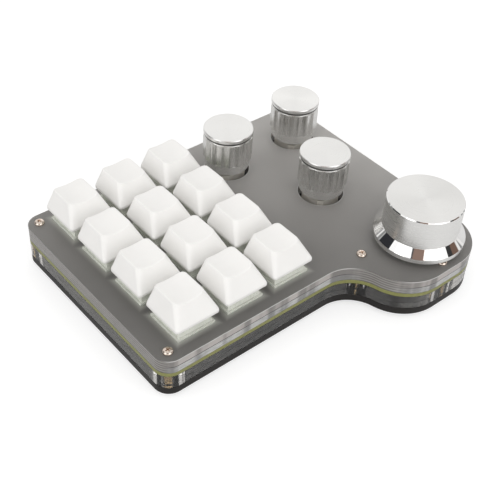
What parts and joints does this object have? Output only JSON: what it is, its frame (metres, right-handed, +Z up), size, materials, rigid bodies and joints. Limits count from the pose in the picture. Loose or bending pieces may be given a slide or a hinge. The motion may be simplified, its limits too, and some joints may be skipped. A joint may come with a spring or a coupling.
{
  "type": "macro keypad",
  "caption": "Small desk keypad: blank square keys in a grid, press-and-turn knobs, layered clear case with a round tab.",
  "frame": {"origin": "middle of the bounding box of the whole keypad, on the desk under its rubber feet", "axes": "+X along the width, from the key columns to the knobs; +Y from the front edge with the tab to the back edge with the computer socket; +Z up"},
  "size_m": [0.1334, 0.1142, 0.0375],
  "materials": {
    "frosted_acrylic": "frosted top face on clear acrylic, polished cut edges",
    "clear_acrylic": "clear acrylic, polished cut edges",
    "black_acrylic": "black acrylic sheet, slightly dulled",
    "circuit_board": "black solder mask over yellow-green glass laminate",
    "rubber": "soft black rubber",
    "screw_metal": "nickel-gold plated steel",
    "brass": "machined brass",
    "milky_plastic": "milky translucent housing plastic",
    "copper": "copper alloy leaf",
    "spring_steel": "drawn spring wire",
    "light_lens": "white chip with a clear lens",
    "encoder_metal": "nickel-plated case",
    "socket_steel": "stamped steel shell",
    "chip_plastic": "moulded black package",
    "white_keycap": "fine satin white plastic",
    "slider_plastic": "smooth acetal",
    "turned_aluminium": "turned aluminium with polished chamfers",
    "shaft_metal": "drawn shaft metal",
    "plunger_plastic": "black nylon"
  },
  "bodies": {
    "case": {"cover_plate": "frosted_acrylic", "middle_frame": "clear_acrylic", "base_plate": "black_acrylic", "circuit_board": "circuit_board", "rubber_feet": "rubber", "cover_screws": "screw_metal", "base_screws": "screw_metal", "brass_standoffs": "brass", "switch_bases": "milky_plastic", "switch_lids": "milky_plastic", "switch_contacts": "copper", "key_springs": "spring_steel", "key_lights": "light_lens", "encoder_bodies": "encoder_metal", "usb_socket": "socket_steel", "controller_chip": "chip_plastic"},
    "key_row1_col1": {"keycap_row1_col1": "white_keycap", "slider_row1_col1": "slider_plastic"},
    "key_row1_col2": {"keycap_row1_col2": "white_keycap", "slider_row1_col2": "slider_plastic"},
    "key_row1_col3": {"keycap_row1_col3": "white_keycap", "slider_row1_col3": "slider_plastic"},
    "key_row2_col1": {"keycap_row2_col1": "white_keycap", "slider_row2_col1": "slider_plastic"},
    "key_row2_col2": {"keycap_row2_col2": "white_keycap", "slider_row2_col2": "slider_plastic"},
    "key_row2_col3": {"keycap_row2_col3": "white_keycap", "slider_row2_col3": "slider_plastic"},
    "key_row3_col1": {"keycap_row3_col1": "white_keycap", "slider_row3_col1": "slider_plastic"},
    "key_row3_col2": {"keycap_row3_col2": "white_keycap", "slider_row3_col2": "slider_plastic"},
    "key_row3_col3": {"keycap_row3_col3": "white_keycap", "slider_row3_col3": "slider_plastic"},
    "key_row4_col1": {"keycap_row4_col1": "white_keycap", "slider_row4_col1": "slider_plastic"},
    "key_row4_col2": {"keycap_row4_col2": "white_keycap", "slider_row4_col2": "slider_plastic"},
    "key_row4_col3": {"keycap_row4_col3": "white_keycap", "slider_row4_col3": "slider_plastic"},
    "left_push": {"left_plunger": "plunger_plastic"},
    "left_dial": {"left_shaft": "shaft_metal", "left_knob": "turned_aluminium"},
    "right_push": {"right_plunger": "plunger_plastic"},
    "right_dial": {"right_shaft": "shaft_metal", "right_knob": "turned_aluminium"},
    "middle_push": {"middle_plunger": "plunger_plastic"},
    "middle_dial": {"middle_shaft": "shaft_metal", "middle_knob": "turned_aluminium"},
    "main_push": {"main_plunger": "plunger_plastic"},
    "main_dial": {"main_shaft": "shaft_metal", "main_knob": "turned_aluminium"}
  },
  "joints": [
    {"name": "press_row1_col1", "type": "slide", "parent": "case", "child": "key_row1_col1", "axis": [0, 0, -1], "range_m": [0, 0.004], "stiffness_N_per_m": 65, "springref_m": -0.0055, "deforming": ["key_springs"]},
    {"name": "press_row1_col2", "type": "slide", "parent": "case", "child": "key_row1_col2", "axis": [0, 0, -1], "range_m": [0, 0.004], "stiffness_N_per_m": 65, "springref_m": -0.0055, "deforming": ["key_springs"]},
    {"name": "press_row1_col3", "type": "slide", "parent": "case", "child": "key_row1_col3", "axis": [0, 0, -1], "range_m": [0, 0.004], "stiffness_N_per_m": 65, "springref_m": -0.0055, "deforming": ["key_springs"]},
    {"name": "press_row2_col1", "type": "slide", "parent": "case", "child": "key_row2_col1", "axis": [0, 0, -1], "range_m": [0, 0.004], "stiffness_N_per_m": 65, "springref_m": -0.0055, "deforming": ["key_springs"]},
    {"name": "press_row2_col2", "type": "slide", "parent": "case", "child": "key_row2_col2", "axis": [0, 0, -1], "range_m": [0, 0.004], "stiffness_N_per_m": 65, "springref_m": -0.0055, "deforming": ["key_springs"]},
    {"name": "press_row2_col3", "type": "slide", "parent": "case", "child": "key_row2_col3", "axis": [0, 0, -1], "range_m": [0, 0.004], "stiffness_N_per_m": 65, "springref_m": -0.0055, "deforming": ["key_springs"]},
    {"name": "press_row3_col1", "type": "slide", "parent": "case", "child": "key_row3_col1", "axis": [0, 0, -1], "range_m": [0, 0.004], "stiffness_N_per_m": 65, "springref_m": -0.0055, "deforming": ["key_springs"]},
    {"name": "press_row3_col2", "type": "slide", "parent": "case", "child": "key_row3_col2", "axis": [0, 0, -1], "range_m": [0, 0.004], "stiffness_N_per_m": 65, "springref_m": -0.0055, "deforming": ["key_springs"]},
    {"name": "press_row3_col3", "type": "slide", "parent": "case", "child": "key_row3_col3", "axis": [0, 0, -1], "range_m": [0, 0.004], "stiffness_N_per_m": 65, "springref_m": -0.0055, "deforming": ["key_springs"]},
    {"name": "press_row4_col1", "type": "slide", "parent": "case", "child": "key_row4_col1", "axis": [0, 0, -1], "range_m": [0, 0.004], "stiffness_N_per_m": 65, "springref_m": -0.0055, "deforming": ["key_springs"]},
    {"name": "press_row4_col2", "type": "slide", "parent": "case", "child": "key_row4_col2", "axis": [0, 0, -1], "range_m": [0, 0.004], "stiffness_N_per_m": 65, "springref_m": -0.0055, "deforming": ["key_springs"]},
    {"name": "press_row4_col3", "type": "slide", "parent": "case", "child": "key_row4_col3", "axis": [0, 0, -1], "range_m": [0, 0.004], "stiffness_N_per_m": 65, "springref_m": -0.0055, "deforming": ["key_springs"]},
    {"name": "left_knob_push", "type": "slide", "parent": "case", "child": "left_push", "axis": [0, 0, -1], "range_m": [0, 0.0005], "stiffness_N_per_m": 3000, "springref_m": -0.0006},
    {"name": "left_knob_turn", "type": "hinge", "parent": "left_push", "child": "left_dial", "pos_m": [0.01565, 0.0382, 0.0182], "axis": [0, 0, 1], "continuous": true},
    {"name": "right_knob_push", "type": "slide", "parent": "case", "child": "right_push", "axis": [0, 0, -1], "range_m": [0, 0.0005], "stiffness_N_per_m": 3000, "springref_m": -0.0006},
    {"name": "right_knob_turn", "type": "hinge", "parent": "right_push", "child": "right_dial", "pos_m": [0.05085, 0.0382, 0.0182], "axis": [0, 0, 1], "continuous": true},
    {"name": "middle_knob_push", "type": "slide", "parent": "case", "child": "middle_push", "axis": [0, 0, -1], "range_m": [0, 0.0005], "stiffness_N_per_m": 3000, "springref_m": -0.0006},
    {"name": "middle_knob_turn", "type": "hinge", "parent": "middle_push", "child": "middle_dial", "pos_m": [0.0356, 0.00415, 0.0182], "axis": [0, 0, 1], "continuous": true},
    {"name": "main_knob_push", "type": "slide", "parent": "case", "child": "main_push", "axis": [0, 0, -1], "range_m": [0, 0.0005], "stiffness_N_per_m": 3000, "springref_m": -0.0006},
    {"name": "main_knob_turn", "type": "hinge", "parent": "main_push", "child": "main_dial", "pos_m": [0.04575, -0.03835, 0.0182], "axis": [0, 0, 1], "continuous": true}
  ]
}
